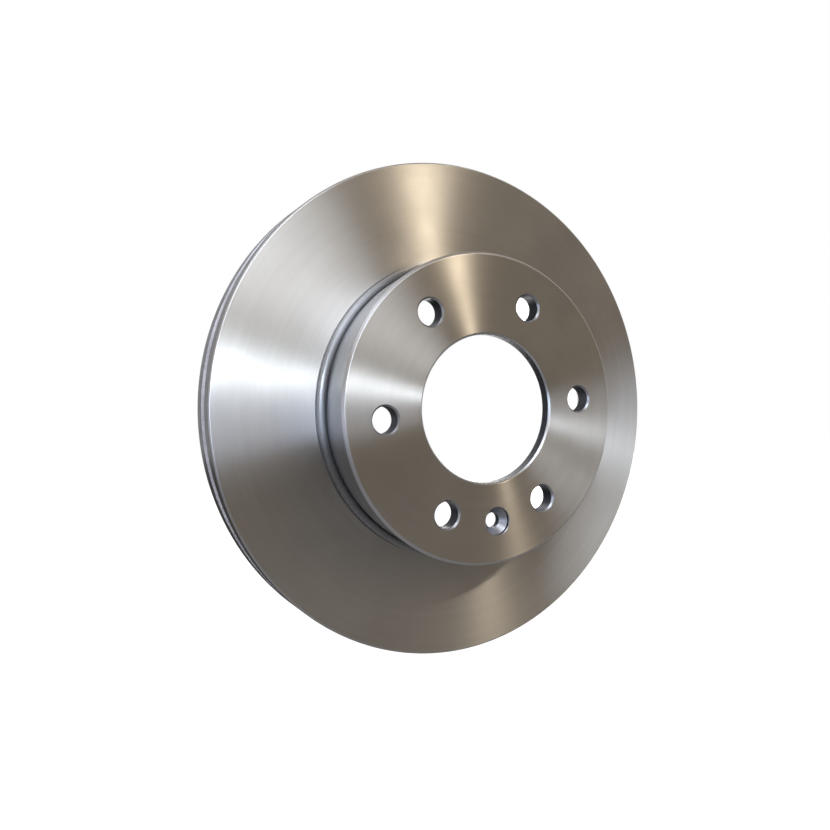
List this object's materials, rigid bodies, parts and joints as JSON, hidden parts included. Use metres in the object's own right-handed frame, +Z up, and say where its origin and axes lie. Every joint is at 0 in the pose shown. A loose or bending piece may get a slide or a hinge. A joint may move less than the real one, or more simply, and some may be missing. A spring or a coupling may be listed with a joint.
{
  "type": "brake disc",
  "caption": "Vented top-hat brake disc of turned cast iron, with a centring bore, wheel bolt holes and a recessed retaining screw hole in the flange of the hat.",
  "frame": {"origin": "on the axle line, at the centre of the wheel bolt circle, in the plane where the hat rests on the hub", "axes": "+Y along the axle line towards the vehicle, -Y towards the wheel, +Z up as the disc hangs on the hub, with the retaining screw hole straight down"},
  "size_m": [0.3, 0.0665, 0.3],
  "materials": {
    "turned_iron": "turned"
  },
  "bodies": {
    "root": {"brake_disc": "turned_iron"}
  },
  "joints": []
}
